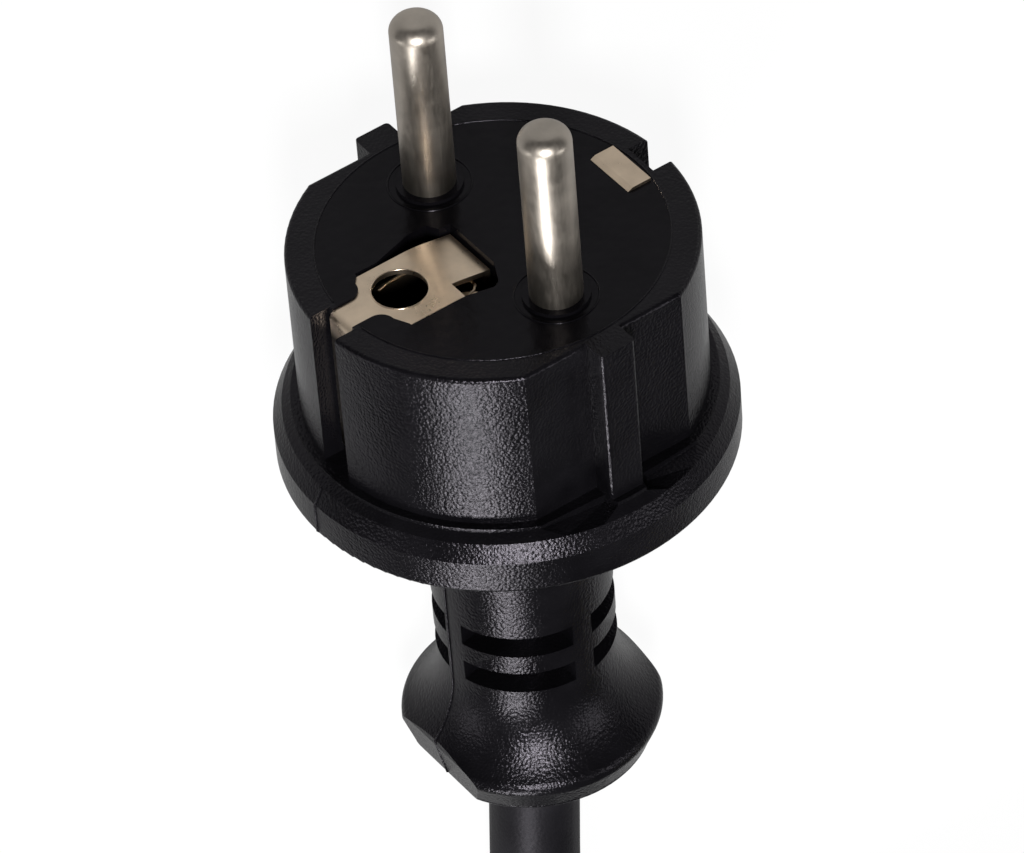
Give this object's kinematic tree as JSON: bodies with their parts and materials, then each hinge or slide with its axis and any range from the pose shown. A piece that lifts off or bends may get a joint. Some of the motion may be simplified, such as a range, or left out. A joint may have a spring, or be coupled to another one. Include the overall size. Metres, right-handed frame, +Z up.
{
  "type": "type f plug",
  "caption": "Moulded rubber mains plug with two round pins, an earth socket, side earth strips, a round collar, a slotted neck and a coiled lead.",
  "frame": {"origin": "middle of the plug's outline on the floor, at the floor, without its lead", "axes": "+Y runs from the pins to the lead, level with the floor, +Z is up; the plug lies on its collar and the rim of its bell, so its pins point along -Y and 14 degrees up"},
  "size_m": [0.1289, 0.2162, 0.0434],
  "materials": {
    "outer_moulding": "fine grain, satin black",
    "face_insert": "smooth black with a soft sheen",
    "pins": "nickel plated, turned",
    "earth_strips": "nickel plated sheet, warm tone",
    "earth_spring": "plated spring leaf",
    "strands": "bare copper strands",
    "core_brown": "matt brown insulation",
    "core_blue": "matt blue insulation",
    "core_green": "green insulation with a yellow stripe",
    "lead": "matt black sheath",
    "coil_tie": "plain pale band",
    "ferrules": "tinned sleeves"
  },
  "bodies": {
    "root": {"outer_moulding": "outer_moulding", "face_insert": "face_insert", "pin_live": "pins", "pin_neutral": "pins", "earth_strip_front": "earth_strips", "earth_strip_rear": "earth_strips", "earth_spring": "earth_spring", "earth_bridge": "earth_strips", "wire_live": "strands", "wire_neutral": "strands", "wire_earth": "strands", "core_live": "core_brown", "core_neutral": "core_blue", "core_earth": "core_green", "lead_in_plug": "lead", "cord": "lead", "cord_coil": "lead", "coil_tie": "coil_tie", "tail_live": "core_brown", "tail_neutral": "core_blue", "tail_earth": "core_green", "ferrule_live": "ferrules", "ferrule_neutral": "ferrules", "ferrule_earth": "ferrules"}
  },
  "joints": []
}
